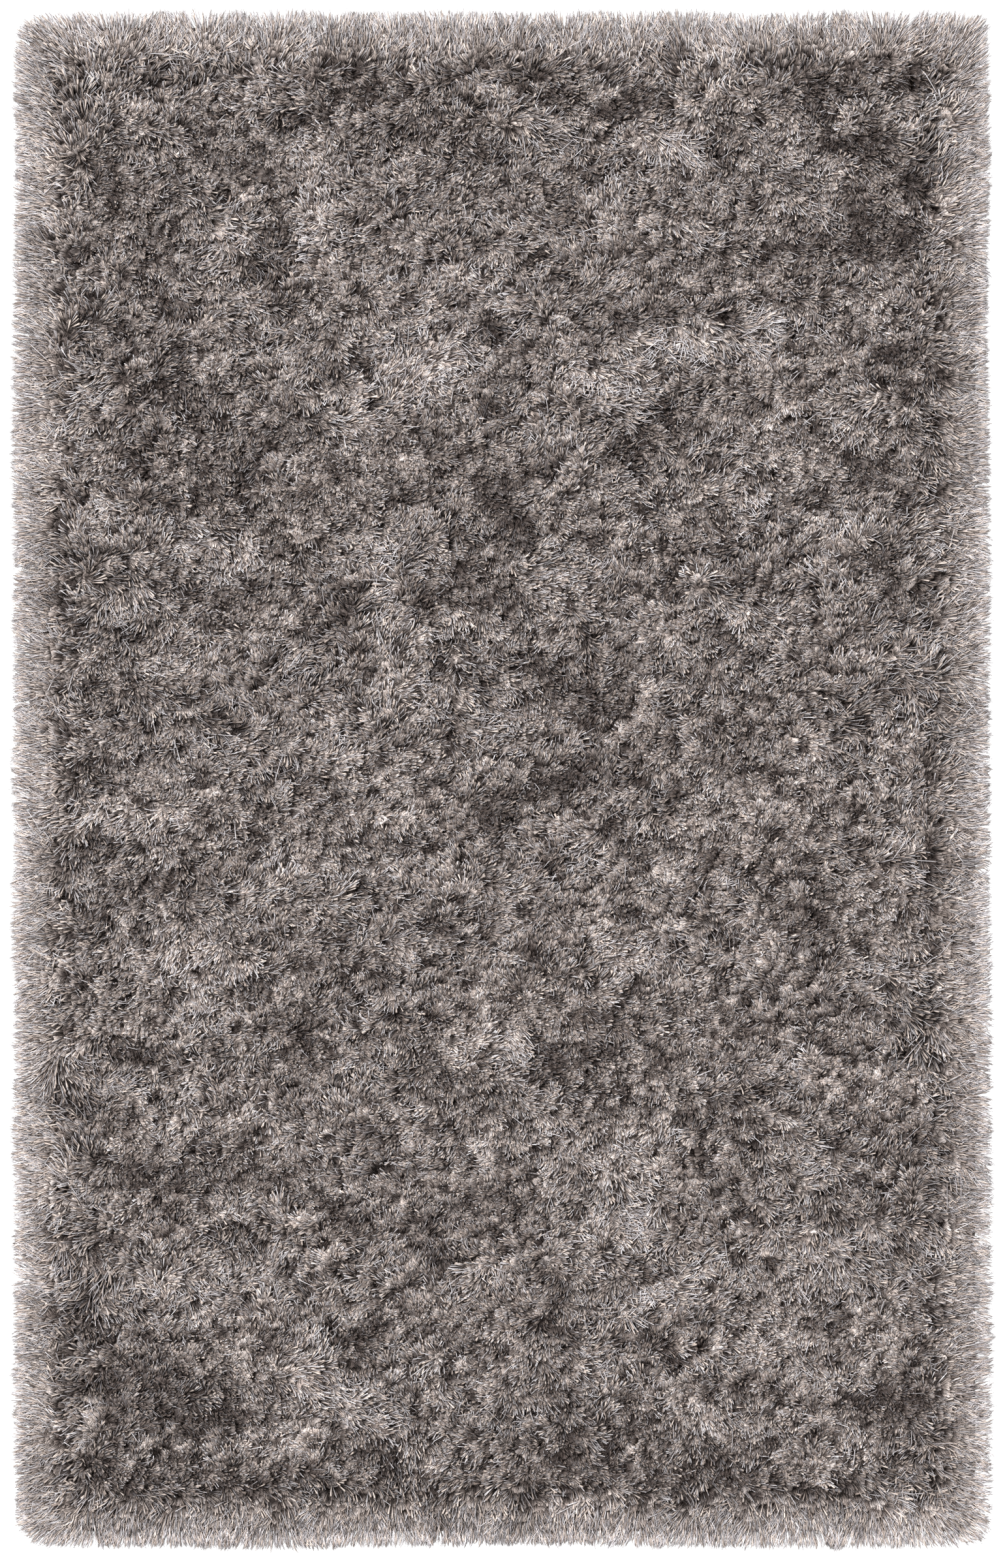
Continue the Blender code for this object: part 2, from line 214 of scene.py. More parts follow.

# Where the pile is combed flat, parted or hollow, read off the photograph, in millimetres
# from the rug's middle. The pile leans from the first point to the second, as flat as flat says,
# and is lighter or darker by light. Those flatter than RIM_STROKE hold at the rim too.
RIM_STROKE = 0.9
STROKE_PULL = 1.8  # how strongly a stroke turns the pile its way
Stroke = namedtuple("Stroke", "x y to_x to_y half_width flat light")
STROKE_ROWS = (
    # combed flat, and mostly painted light, for the sheen of the flat-lying fibres
    (-295, 880, -310, 1030, 32, 0.55, 1.9),
    (-250, 590, -150, 650, 50, 0.5, 1.5),
    (-150, 650, -60, 700, 44, 0.55, 1.2),
    (120, 655, 215, 630, 46, 0.55, 1.5),
    (220, 700, 420, 725, 34, 0.75, 1.2),
    (245, 1055, 295, 1030, 30, 0.65, 2.4),
    (660, 190, 750, 270, 42, 0.8, 0.8),
    (-530, -70, -690, -60, 26, 0.5, 1.7),
    (-170, 150, -190, 290, 50, 0.45, 1.6),
    (-540, -270, -490, -380, 36, 0.45, 1.3),
    (-60, -450, 10, -430, 38, 0.45, 1.9),
    (200, -600, 230, -730, 50, 0.5, 1.2),
    (190, -880, 320, -790, 38, 0.6, 0.8),
    (-330, -975, -190, -1040, 36, 0.65, 1.6),
    (-110, -960, -80, -1010, 26, 0.65, 0.6),
    (-480, -200, -370, -170, 42, 0.55, 0.5),
    (640, -380, 730, -440, 42, 0.75, 0.3),
    (-500, 950, -430, 760, 48, 0.45, 0.5),
    (30, 1065, 90, 1055, 30, 0.5, 0.6),
    (460, -640, 560, -790, 70, 0.5, 0.1),
    (60, 340, 140, 335, 34, 0.5, 0.9),
    (350, 290, 430, 260, 42, 0.5, 0.8),
    (-520, 390, -430, 360, 42, 0.45, 0.7),
    (-480, 60, -350, 0, 42, 0.55, 0.2),
    (-190, -50, -150, -80, 34, 0.45, 0.5),
    (0, 850, 20, 760, 36, 0.45, 0.4),
    (300, 900, 400, 860, 30, 0.45, 0.4),
    (100, -780, 170, -740, 38, 0.5, 0.8),
    (570, -770, 680, -790, 36, 0.55, 0.3),
    (-660, 1130, -580, 1160, 46, 0.6, -0.1),
    (-680, 1060, -540, 1040, 60, 0.35, 0.1),
    (-270, 400, -210, 380, 44, 0.45, 0.7),
    (160, -265, 200, -290, 40, 0.4, 0.7),
    (-10, -210, 30, -225, 34, 0.4, 0.6),
    (300, 510, 400, 490, 42, 0.45, 0.4),
    (-560, -870, -500, -840, 50, 0.45, 0.8),
    (-450, 900, -400, 890, 40, 0.45, 0.6),
    (-350, -960, -300, -940, 34, 0.5, 0.4),
    # mostly standing up, and painted dark, for the shade between the tufts
    (-300, 0, -230, -50, 44, 0.3, -0.5),
    (690, 650, 700, 500, 40, 0.3, -0.4),
    (590, 1040, 660, 980, 50, 0.08, -1.4),
    (570, 880, 660, 885, 38, 0.1, -1.1),
    (-275, 1130, -215, 1135, 32, 0.08, -0.9),
    (100, 1130, 220, 1110, 42, 0.1, -0.8),
    (450, 1125, 690, 1155, 28, 0.1, -0.8),
    (-620, 930, -570, 800, 40, 0.1, -0.4),
    (-710, 715, -610, 725, 42, 0.1, -0.7),
    (-590, 640, -470, 600, 34, 0.2, -0.7),
    (-530, 500, -470, 480, 38, 0.1, -0.1),
    (185, 515, 270, 590, 34, 0.1, -1.1),
    (-15, 480, 0, 390, 40, 0.1, -1.3),
    (-120, 290, -60, 335, 30, 0.1, -0.9),
    (-20, -40, 115, 0, 38, 0.1, -1.1),
    (120, 150, 220, 175, 42, 0.1, -0.5),
    (-340, -430, -220, -450, 36, 0.1, -0.7),
    (80, -450, 220, -490, 46, 0.1, -0.6),
    (-610, -985, -540, -1005, 48, 0.1, -1.3),
    (-470, -1020, -400, -1060, 38, 0.1, -0.4),
    (-480, -960, -430, -920, 36, 0.1, -0.3),
    (-245, -925, -185, -890, 36, 0.1, -1.1),
    (610, -1020, 690, -1030, 36, 0.1, -1.4),
    (-660, -1140, -330, -1150, 26, 0.1, -0.9),
    (70, -1145, 660, -1145, 24, 0.1, -0.8),
    (380, -1080, 430, -1075, 30, 0.1, -0.2),
    (200, -1020, 240, -1050, 34, 0.1, -0.5),
    (470, -250, 600, -240, 34, 0.1, -0.7),
    (300, -380, 400, -410, 30, 0.1, -0.9),
    (350, -500, 450, -490, 36, 0.4, 0.5),
    (260, -930, 340, -950, 30, 0.4, 0.5),
    (600, 350, 640, 350, 34, 0.1, -0.8),
    (-605, -560, -590, -700, 34, 0.1, -0.3),
    (-330, -660, -275, -700, 30, 0.1, -0.6),
    (-650, -440, -590, -460, 38, 0.1, -0.5),
    (-450, -640, -350, -630, 26, 0.1, -0.1),
    (-500, -560, -420, -550, 36, 0.1, -0.5),
    (340, 90, 400, 50, 34, 0.3, 0.5),
    (-680, 160, -600, 140, 34, 0.1, -0.5),
    (430, 860, 490, 855, 30, 0.1, -0.6),
    (650, 700, 720, 760, 46, 0.1, -0.3),
    (600, 490, 660, 470, 34, 0.1, -1.0),
    (540, -120, 660, -150, 46, 0.4, 0.5),
    (-300, -240, -180, -220, 46, 0.45, 0.6),
    (-720, -470, -640, -500, 46, 0.8, 0.4),
    (-420, 290, -330, 270, 40, 0.1, -0.4),
    (600, -330, 690, -350, 40, 0.5, 0.1),
    (-700, -780, -640, -830, 40, 0.8, -0.4),
    # partings, painted dark for the shade in them
    (180, -925, 245, -905, 10, 0.1, -1.3),
    (-140, -240, -75, -250, 12, 0.1, -1.4),
    (-490, -170, -430, -205, 10, 0.1, -1.2),
    (-450, 850, -380, 850, 12, 0.2, -0.1),
    (-110, -970, -70, -978, 12, 0.1, -1.3),
    # the rim near the corners
    (720, 1010, 790, 1150, 60, 0.95, 0.2),
    (-700, 1100, -780, 1170, 60, 0.95, -0.3),
    (640, -1180, 700, -1260, 60, 0.95, 0.1),
    (-690, -1190, -720, -1260, 45, 0.95, 0.1),
)
STROKES = [Stroke(*row) for row in STROKE_ROWS]

# The materials
WHITE = (1, 1, 1)
FIBRES_ACROSS = 1100  # to a metre, on the lower pile
FIBRES_ALONG = 45
FAR_APART = 300  # between the noise of one strand or tuft and that of the next

# The photograph's frame
PHOTO_WIDTH = 1540
PHOTO_HEIGHT = 2402
MM_PER_PIXEL = 1.0705
RUG_MIDDLE_X = 769.4  # of the photograph's pixels
RUG_MIDDLE_Y = 1194.0
CAMERA_HEIGHT = 10.0
SENSOR_WIDTH = 36

# The stage
FLOOR_SIZE = 24.0
SUN_ENERGY = 6.1
SUN_WIDTH = 14  # degrees, which softens its shadows
SUN_TILT = 12  # degrees, to the upper side and to the left side
SURROUND_STRENGTH = 0.62


# ---- The pile's shape, from the frame ----


def backing_depth(x, y, overhang=0.0, corner=BACKING_CORNER):
    """How far points lie inside the backing's rounded outline, or one that is larger all round."""
    over_x = np.abs(x) - (BACKING_WIDTH / 2 + overhang - corner)
    over_y = np.abs(y) - (BACKING_LENGTH / 2 + overhang - corner)
    past_corner = np.hypot(np.maximum(over_x, 0), np.maximum(over_y, 0))
    return corner - past_corner - np.minimum(np.maximum(over_x, over_y), 0)


def corner_radius(x, y):
    """The radius of the rim's outline at the corner nearest to each point."""
    radius = np.zeros(len(x))
    for (side_x, side_y), corner in CORNER_RADII.items():
        radius = np.where((x * side_x >= 0) & (y * side_y >= 0), corner, radius)
    return radius


class PileShape:
    """The height of the pile and the reach of its rim, read off the frame's solid."""

    def __init__(self, solid):
        self.tree = BVHTree.FromPolygons(
            [v.co for v in solid.data.vertices], [p.vertices for p in solid.data.polygons]
        )
        points = np.array([v.co for v in solid.data.vertices])
        low = points[points[:, 2] < 1 * MM]
        self.reaches = {}
        for axis, half in ((0, BACKING_WIDTH / 2), (1, BACKING_LENGTH / 2)):
            for sign in (-1, 1):
                out = low[:, axis] * sign - half
                tips = low[out > 0.6 * USUAL_OVERHANG]  # those of the locks, not their roots
                tips = tips[np.argsort(tips[:, 1 - axis])]
                along, out = tips[:, 1 - axis], tips[:, axis] * sign - half
                near = np.abs(along[:, None] - along[None, :]) < REACH_BLUR
                self.reaches[axis, sign] = (along, (near * out[None, :]).sum(1) / near.sum(1))

    def height(self, x, y):
        """The top of the solid's slab above points, which are first moved inside its rim."""
        inset = 0.004
        x = np.clip(x, -BACKING_WIDTH / 2 + inset, BACKING_WIDTH / 2 - inset)
        y = np.clip(y, -BACKING_LENGTH / 2 + inset, BACKING_LENGTH / 2 - inset)
        down = Vector((0, 0, -1))
        found = [self.tree.ray_cast(Vector((a, b, 1.0)), down)[0] for a, b in zip(x, y)]
        return np.array([WALL_HEIGHT if hit is None else hit.z for hit in found])

    def mat_height(self, x, y):
        """The top of the lower pile, without its tufts."""
        share = np.clip((backing_depth(x, y) + MAT_OVERHANG) / (MAT_ROLL + MAT_OVERHANG), 0, 1)
        return MAT_EDGE + (MAT_SHARE * self.height(x, y) - MAT_EDGE) * share**FALL_POWER

    def top(self, x, y):
        """The top of the strands, which falls to the floor at the rim."""
        share = (backing_depth(x, y) + USUAL_OVERHANG) / (RIM_ROLL + USUAL_OVERHANG)
        return self.height(x, y) * np.clip(share, 0.02, 1) ** FALL_POWER

    def overhang(self, x, y):
        """How far the rim reaches past the backing's edge on the side nearest to each point."""
        best = np.full(len(x), -np.inf)
        reach = np.full(len(x), USUAL_OVERHANG)
        places = {0: (x, y, BACKING_WIDTH / 2), 1: (y, x, BACKING_LENGTH / 2)}
        for (axis, sign), (at, out) in self.reaches.items():
            across, along, half = places[axis]
            nearness = across * sign - half
            closer = nearness > best
            reach = np.where(closer, np.interp(along, at, out), reach)
            best = np.maximum(best, nearness)
        return reach

    def run_to_outline(self, x, y, way_x, way_y):
        """How far points can go along their way before they meet the rim's outline."""
        gone = np.zeros(len(x))
        for _ in range(12):
            here_x, here_y = x + way_x * gone, y + way_y * gone
            extra = self.overhang(here_x, here_y) - USUAL_OVERHANG
            corner = corner_radius(here_x, here_y)
            room = backing_depth(here_x, here_y, USUAL_OVERHANG, corner) + extra
            gone += np.maximum(room, -2 * MM)
        return np.maximum(gone, 2 * MM)


def smooth_noise(x, y, width, height, seed):
    """Value noise between about -1 and 1, whose lumps are this wide and high."""
    lattice = np.random.default_rng(seed).uniform(-1, 1, (256, 256))
    u, v = x / width + 100, y / height + 100
    column, row = np.floor(u).astype(int), np.floor(v).astype(int)
    along_x, along_y = u - column, v - row
    along_x *= along_x * (3 - 2 * along_x)
    along_y *= along_y * (3 - 2 * along_y)
    low = lattice[column, row] * (1 - along_x) + lattice[column + 1, row] * along_x
    high = lattice[column, row + 1] * (1 - along_x) + lattice[column + 1, row + 1] * along_x
    return low * (1 - along_y) + high * along_y


def slow_noise(x, y, size, step):
    """Smooth noise of a size that holds its strength, width and height. Step picks its pattern."""
    strength, width, height = size
    return strength * smooth_noise(x, y, width, height, SEED + step)


def step_up(value, low, high):
    """0 below low, 1 above high, and smooth between them."""
    share = np.clip((value - low) / (high - low), 0, 1)
    return share * share * (3 - 2 * share)


# ---- The lay of the pile ----


def way_out(x, y):
    """The unit way out of the rug, which fans round its corners."""
    over_x = np.abs(x) - (BACKING_WIDTH / 2 - CORNER_FAN)
    over_y = np.abs(y) - (BACKING_LENGTH / 2 - CORNER_FAN)
    out_x = np.where(over_x > over_y, 1.0, 0.0)
    out_y = 1.0 - out_x
    corner = (over_x > 0) & (over_y > 0)
    length = np.maximum(np.hypot(over_x, over_y), 1e-6)
    out_x = np.where(corner, over_x / length, out_x)
    out_y = np.where(corner, over_y / length, out_y)
    return out_x * np.sign(x), out_y * np.sign(y)


def stroke_weight(stroke, x, y):
    """How strongly a stroke holds at points: 1 along its middle, 0 past its half width."""
    start_x, start_y = stroke.x * MM, stroke.y * MM
    run_x, run_y = stroke.to_x * MM - start_x, stroke.to_y * MM - start_y
    share = ((x - start_x) * run_x + (y - start_y) * run_y) / (run_x**2 + run_y**2)
    share = np.clip(share, 0, 1)
    away = np.hypot(x - start_x - share * run_x, y - start_y - share * run_y)
    return 1 - step_up(away, 0.1 * stroke.half_width * MM, 1.5 * stroke.half_width * MM)


def lay(x, y):
    """The pile's lean: its unit way, how flat it lies from 0 to 1, and how light it is painted."""
    turn = slow_noise(x, y, BROAD_TURN, 0) + slow_noise(x, y, FINE_TURN, 1)
    way_x, way_y = NOISE_PULL * np.cos(turn), NOISE_PULL * np.sin(turn)
    flat = MEAN_FLAT + slow_noise(x, y, BROAD_FLAT, 2) + slow_noise(x, y, FINE_FLAT, 3)
    light = slow_noise(x, y, BROAD_LIGHT, 5) + slow_noise(x, y, FINE_LIGHT, 6)

    out_x, out_y = way_out(x, y)
    depth = backing_depth(x, y)
    reach = MEAN_RIM_REACH + slow_noise(x, y, RIM_REACH, 7)
    outward = 1 - step_up(depth, 0.1 * reach * RIM_WIDTH, 1.35 * reach * RIM_WIDTH)
    lean = slow_noise(x, y, RIM_LEAN, 4)
    edge_x, edge_y = out_x - lean * out_y, out_y + lean * out_x
    way_x = way_x * (1 - outward) + RIM_PULL * edge_x * outward
    way_y = way_y * (1 - outward) + RIM_PULL * edge_y * outward
    flat = flat * (1 - outward) + RIM_FLAT * outward
    light = light * (1 - 0.5 * outward) + RIM_LIGHT * (1 - step_up(depth, -0.02, 0.080))

    for stroke in STROKES:
        weight = stroke_weight(stroke, x, y)
        run_x, run_y = stroke.to_x - stroke.x, stroke.to_y - stroke.y
        pull = STROKE_PULL * weight / math.hypot(run_x, run_y)
        way_x, way_y = way_x + pull * run_x, way_y + pull * run_y
        hold = weight * (1 - outward) if stroke.flat < RIM_STROKE else weight
        flat = flat * (1 - hold) + stroke.flat * hold
        light += STROKE_LIGHT * stroke.light * hold
    length = np.maximum(np.hypot(way_x, way_y), 1e-6)
    return way_x / length, way_y / length, np.clip(flat, 0.05, 1), light


# ---- Clumps and tufts ----


def scattered_sites(pitch, rng):
    """Points of a staggered grid over the lower pile, each moved a little at random."""
    row_gap = pitch * math.sqrt(3) / 2
    rows = int(BACKING_LENGTH / row_gap) + 6
    columns = int(BACKING_WIDTH / pitch) + 6
    column, row = np.meshgrid(np.arange(columns), np.arange(rows))
    x = (column + 0.5 * (row % 2) - columns / 2) * pitch
    y = (row - rows / 2) * row_gap
    x = (x + rng.uniform(-SITE_SHIFT, SITE_SHIFT, x.shape) * pitch).ravel()
    y = (y + rng.uniform(-SITE_SHIFT, SITE_SHIFT, y.shape) * pitch).ravel()
    inside = backing_depth(x, y) > -ROOT_OVERHANG
    return x[inside], y[inside]


def rim_pockets(rng):
    """The pockets just inside the rim that its strands fan out from, all the way round."""
    half_x, half_y = BACKING_WIDTH / 2 - RIM_FAN_DEPTH, BACKING_LENGTH / 2 - RIM_FAN_DEPTH
    places = []
    sides = ((1, 0, half_y), (0, 1, half_x), (-1, 0, half_y), (0, -1, half_x))
    for side_x, side_y, half in sides:
        count = round(2 * half / RIM_FAN_PITCH)
        for i in range(count):
            along = (2 * (i + 0.5) / count - 1) * half + rng.uniform(-0.25, 0.25) * RIM_FAN_PITCH
            inward = rng.uniform(-RIM_FAN_SHIFT, RIM_FAN_SHIFT)
            place_x = side_x * (half_x - inward) + abs(side_y) * along
            place_y = side_y * (half_y - inward) + abs(side_x) * along
            places.append((place_x, place_y))
    return np.array(places)


def make_clumps(rng):
    """The clumps: those inside lean each its own way, and those of the rim fan outwards."""
    x, y = scattered_sites(CLUMP_PITCH, rng)
    inside = backing_depth(x, y) > RIM_FAN_DEPTH + 0.4 * CLUMP_PITCH
    pockets = rim_pockets(rng)
    x, y = np.append(x[inside], pockets[:, 0]), np.append(y[inside], pockets[:, 1])
    at_rim = np.arange(len(x)) >= inside.sum()
    gaps = np.random.default_rng(SEED + 20)
    pocket = gaps.uniform(*POCKET_RADII, len(x)) * (gaps.uniform(0, 1, len(x)) < POCKET_SHARE)
    calm = np.where(at_rim, 0.3, 1.0)
    return {
        "x": x,
        "y": y,
        "at_rim": at_rim,
        "pocket": np.where(at_rim, RIM_POCKET, pocket),
        "turn": calm * np.radians(CLUMP_TURN) * rng.normal(0, 1, len(x)),
        "flat": np.where(at_rim, 0, FLAT_SPREAD) * rng.normal(0, 1, len(x)),
        "fan": rng.uniform(-0.1, 0.25, len(x)),
        "light": CLUMP_LIGHT_SPREAD * rng.normal(0, 1, len(x)),
    }


def make_tufts(rng):
    """The tufts: how far each turns from the lay, and how flat, high, open and light it is."""
    x, y = scattered_sites(TUFT_PITCH, rng)
    high = rng.uniform(*TUFT_HEIGHTS, len(x))
    return {
        "x": x,
        "y": y,
        "turn": np.radians(TUFT_TURN) * rng.normal(0, 1, len(x)),
        "flat": rng.normal(0, FLAT_SPREAD, len(x)),
        "high": high,
        "splay": rng.uniform(-0.2, 0.3, len(x)),
        "curl": TUFT_CURL * rng.normal(0, 1, len(x)),
        "light": TUFT_LIGHT * (high - USUAL_HEIGHT)
        + TUFT_LIGHT_SPREAD * rng.normal(0, 1, len(x)),
    }


def nearest(groups, x, y):
    """The number of the clump or tuft nearest to each point. Ways along the rug count more."""
    tree = KDTree(len(groups["x"]))
    for i, place in enumerate(zip(groups["x"], WIDER * groups["y"])):
        tree.insert((*place, 0.0), i)
    tree.balance()
    return np.array([tree.find((a, b, 0.0))[1] for a, b in zip(x, WIDER * y)])


# ---- Strands ----


def brightness(light):
    """The share of full brightness for a light, as the materials read it."""
    return np.clip(MEAN_LIGHT + LIGHT_STEP * light, 0, 1)


def group_lay(x, y, clumps, tufts):
    """The lay as each point's clump and tuft turn it, the rim, the tuft, and if it is a pocket."""
    own, tuft = nearest(clumps, x, y), nearest(tufts, x, y)
    away_x, away_y = x - clumps["x"][own], y - clumps["y"][own]
    away = np.hypot(away_x, away_y)
    way_x, way_y, flat, light = lay(x, y)
    rim = 1 - step_up(backing_depth(x, y), 0.0, RIM_WIDTH)
    inner_fan = clumps["fan"][own] / CLUMP_PITCH * away
    fan = np.where(clumps["at_rim"][own], RIM_FAN * rim, inner_fan)
    fan /= np.maximum(away, 1e-6)
    turn = np.arctan2(way_y + fan * away_y, way_x + fan * away_x)
    turn += clumps["turn"][own] * (1 - RIM_CALM * rim) + tufts["turn"][tuft] * (1 - 0.75 * rim)
    flat = flat + (clumps["flat"][own] + tufts["flat"][tuft]) * (1 - rim)
    light = light + (clumps["light"][own] + tufts["light"][tuft]) * (1 - 0.2 * rim)
    in_pocket = away < clumps["pocket"][own]
    return turn, flat, light, rim, tuft, in_pocket


def grow_strands(yarn, clumps, tufts, shape):
    """Every strand of one yarn: its curve's root, bend and tip, and what its looks need."""
    rng = np.random.default_rng(yarn.seed)
    x, y = scattered_sites(yarn.pitch, rng)
    kept = (backing_depth(x, y) <= RIM_YARN_WIDTH) == yarn.rim
    x, y = x[kept], y[kept]
    turn, flat, light, rim, tuft, in_pocket = group_lay(x, y, clumps, tufts)
    kept = ~in_pocket
    x, y, turn, flat, light, rim, tuft = (a[kept] for a in (x, y, turn, flat, light, rim, tuft))
    count = len(x)

    # where it starts and which way it leans
    from_x, from_y = x - tufts["x"][tuft], y - tufts["y"][tuft]
    gather = TUFT_GATHER * step_up(backing_depth(x, y), 0.0, 0.05)
    back = TUFT_BACK * TUFT_PITCH * (1 - rim)
    x, y = x - gather * from_x - back * np.cos(turn), y - gather * from_y - back * np.sin(turn)
    turn += np.radians(yarn.stray) * rng.normal(0, 1, count) * (1 - 0.4 * rim)
    way_x, way_y = np.cos(turn), np.sin(turn)
    flat = np.clip(flat + rng.normal(0, STRAY_FLAT, count), 0.02, 1.0)

    # how far it reaches to the side
    run = yarn.length * rng.uniform(*LENGTH_RANGE, count) * (UPRIGHT_RUN + FLAT_RUN * flat)
    splay = (yarn.splay + tufts["splay"][tuft]) * (1 - rim)
    lean_x, lean_y = way_x * run + splay * from_x, way_y * run + splay * from_y
    run = np.maximum(np.hypot(lean_x, lean_y), 1e-4)
    way_x, way_y = lean_x / run, lean_y / run
    room = shape.run_to_outline(x, y, way_x, way_y) + TIP_REACH - yarn.short
    run = np.minimum(run, np.maximum(room + rng.normal(0, RUN_SPREAD, count), SHORTEST_RUN))
    tip_x, tip_y = x + way_x * run, y + way_y * run

    # how high its tip is, and how light it is painted, with painted shade at its tuft's rear
    off_axis = np.hypot(from_x, from_y) / (0.5 * TUFT_PITCH)
    light += TUFT_SHADE * (way_x * from_x + way_y * from_y) / TUFT_PITCH * (1 - rim)
    bunch = smooth_noise(x, y, BUNCH_PITCH, BUNCH_PITCH, SEED + 12)
    high = tufts["high"][tuft] + yarn.lift * np.clip(light, -1.2, 1.2) + BUNCH_RISE * bunch
    high -= TUFT_DOME * np.minimum(off_axis, 1.3) ** 2 * (1 - rim)
    outside = step_up(-backing_depth(tip_x, tip_y), 0, 0.02)
    share = rng.uniform(*yarn.height, count) * (1 - outside * rng.uniform(0, 0.7, count))
    tip_z = np.minimum(shape.top(tip_x, tip_y) * (0.3 + 0.7 * high) * share, TOP_LIMIT)
    root_z = np.maximum(shape.mat_height(x, y) - ROOT_SINK, BACKING_THICKNESS + 1 * MM)

    # where it bends
    curl = tufts["curl"][tuft] * (1 - 0.5 * rim) * np.minimum(run / CURL_RUN, 1)
    wander = yarn.wander * rng.normal(0, 1, (2, count))
    bend_x = x + way_x * run * BEND_PLACE - curl * way_y + wander[0]
    bend_y = y + way_y * run * BEND_PLACE + curl * way_x + wander[1]
    clear = (BEND_CLEAR + BEND_CLEAR_SPREAD * rng.uniform(0, 1, count)) * rim
    clear = shape.mat_height(bend_x, bend_y) + clear
    bend_z = np.maximum(root_z + BEND_HEIGHT * (tip_z - root_z), clear)
    radius = yarn.radius * np.clip(rng.normal(1, RADIUS_SPREAD, count), 0.6, 1.5)
    return {
        "root": np.stack([x, y, root_z], 1),
        "bend": np.stack([bend_x, bend_y, bend_z], 1),
        "tip": np.stack([tip_x, tip_y, np.maximum(tip_z, radius)], 1),
        "radius": radius,
        "chance": np.clip(0.5 + BUNCH_TONE * bunch + 0.2 * rng.normal(0, 1, count), 0, 1),
        "light": brightness(light),
    }


def strand_points(strands, yarn):
    """The points of every strand in an array of strand, point and axis: root, rings, then tip."""
    share = np.array(yarn.form.places)[None, :, None]
    root, bend, tip = (strands[name][:, None, :] for name in ("root", "bend", "tip"))
    middle = (1 - share) ** 2 * root + 2 * share * (1 - share) * bend + share**2 * tip
    heading = tip - root
    heading /= np.maximum(np.linalg.norm(heading, axis=2, keepdims=True), 1e-9)
    across = np.cross(heading, (0.0, 0.0, 1.0))
    across /= np.maximum(np.linalg.norm(across, axis=2, keepdims=True), 1e-9)
    over = np.cross(across, heading)
    radius = (strands["radius"][:, None] * np.array(yarn.form.widths)[None, :])[..., None]
    section = [middle + radius * (a * across + o * over) for a, o in SECTION]
    rings = np.stack(section, 2).reshape(len(root), -1, 3)
    points = np.concatenate([root, rings] + [tip] * yarn.form.pointed, 1)
    points[..., 2] = np.maximum(points[..., 2], BACKING_THICKNESS * 0.1)
    return points


def strand_template(form):
    """One strand's triangles, and each corner's place across and along its share of the map."""
    sides = len(SECTION)
    tip = sides * len(form.places) + 1
    faces, places = [], []
    for side in range(sides):
        after = (side + 1) % sides
        left, right = side / sides, (side + 1) / sides
        middle = (left + right) / 2
        faces.append((0, 1 + side, 1 + after))
        places.append(((middle, 0), (left, form.places[0]), (right, form.places[0])))
        for ring, (low, high) in enumerate(zip(form.places, form.places[1:])):
            a, b = 1 + sides * ring + side, 1 + sides * ring + after
            faces += [(a, b + sides, b), (a, a + sides, b + sides)]
            places.append(((left, low), (right, high), (right, low)))
            places.append(((left, low), (left, high), (right, high)))
        if form.pointed:
            faces.append((tip - sides + after, tip - sides + side, tip))
            places.append(((right, form.places[-1]), (left, form.places[-1]), (middle, 1)))
    if not form.pointed:
        faces.append((tip - 1, tip - 2, tip - 3))
        places.append(((0, 1), (0.5, 0.95), (1, 1)))
    return np.array(faces), np.array(places)


def add_map(mesh, places, count):
    """Gives each strand a cell of its own in the map, so that no two share a spot."""
    across = math.ceil(math.sqrt(count))
    cell = np.arange(count)
    origin = np.stack([cell % across, cell // across], 1)[:, None, None, :]
    corners = (origin + CELL_MARGIN + (1 - 2 * CELL_MARGIN) * places[None]) / across
    layer = mesh.uv_layers.new(name="OFBake")
    layer.uv.foreach_set("vector", corners.astype(np.float32).ravel())


def mesh_from_arrays(name, points, faces):
    """A mesh of these points and triangles."""
    mesh = bpy.data.meshes.new(name)
    mesh.vertices.add(len(points))
    mesh.vertices.foreach_set("co", points.astype(np.float32).ravel())
    mesh.loops.add(3 * len(faces))
    mesh.loops.foreach_set("vertex_index", faces.astype(np.int32).ravel())
    mesh.polygons.add(len(faces))
    mesh.polygons.foreach_set("loop_start", np.arange(0, 3 * len(faces), 3, dtype=np.int32))
    mesh.update(calc_edges=True)
    return mesh


def triangle_rows(*corners):
    """One array of triangles, from sets of three that hold numbers of points or arrays of them."""
    return np.concatenate([np.stack(np.broadcast_arrays(*three), 1) for three in corners])


def set_values(mesh, name, values, form="FLOAT", field="value", domain="POINT"):
    """Gives a mesh an attribute that its material reads."""
    data = mesh.attributes.new(name, form, domain).data
    data.foreach_set(field, values.astype(np.float32).ravel())


def new_object(name, data):
    """An object in the scene."""
    made = bpy.data.objects.new(name, data)
    bpy.context.scene.collection.objects.link(made)
    return made


def add_piece(name, mesh, material):
    """A visible piece of the rug, which replaces the solid together with the others."""
    piece = new_object(name, mesh)
    mesh.materials.append(material)
    mesh.shade_smooth()
    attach(piece, "root")
    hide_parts("shag_pile")
    return piece


def make_strand_piece(name, strands, yarn, material):
    """One piece: a strip's strands of one yarn, with the values that its material reads."""
    points = strand_points(strands, yarn)
    count, size = points.shape[:2]
    faces, places = strand_template(yarn.form)
    faces = (faces[None] + size * np.arange(count)[:, None, None]).reshape(-1, 3)
    mesh = mesh_from_arrays(name, points.reshape(-1, 3), faces)
    set_values(mesh, "thread", np.tile(places.ravel(), count), "FLOAT2", "vector", "CORNER")
    values = {label: np.repeat(strands[label], size) for label in ("chance", "light")}
    along = np.array([0, *np.repeat(yarn.form.places, len(SECTION))] + [1] * yarn.form.pointed)
    if yarn.rim:
        along = RIM_TIP - RIM_OPEN * (1 - along)
    values["along"] = np.tile(along, count)
    for label, each in values.items():
        set_values(mesh, label, each)
    add_map(mesh, places, count)
    return add_piece(name, mesh, material)


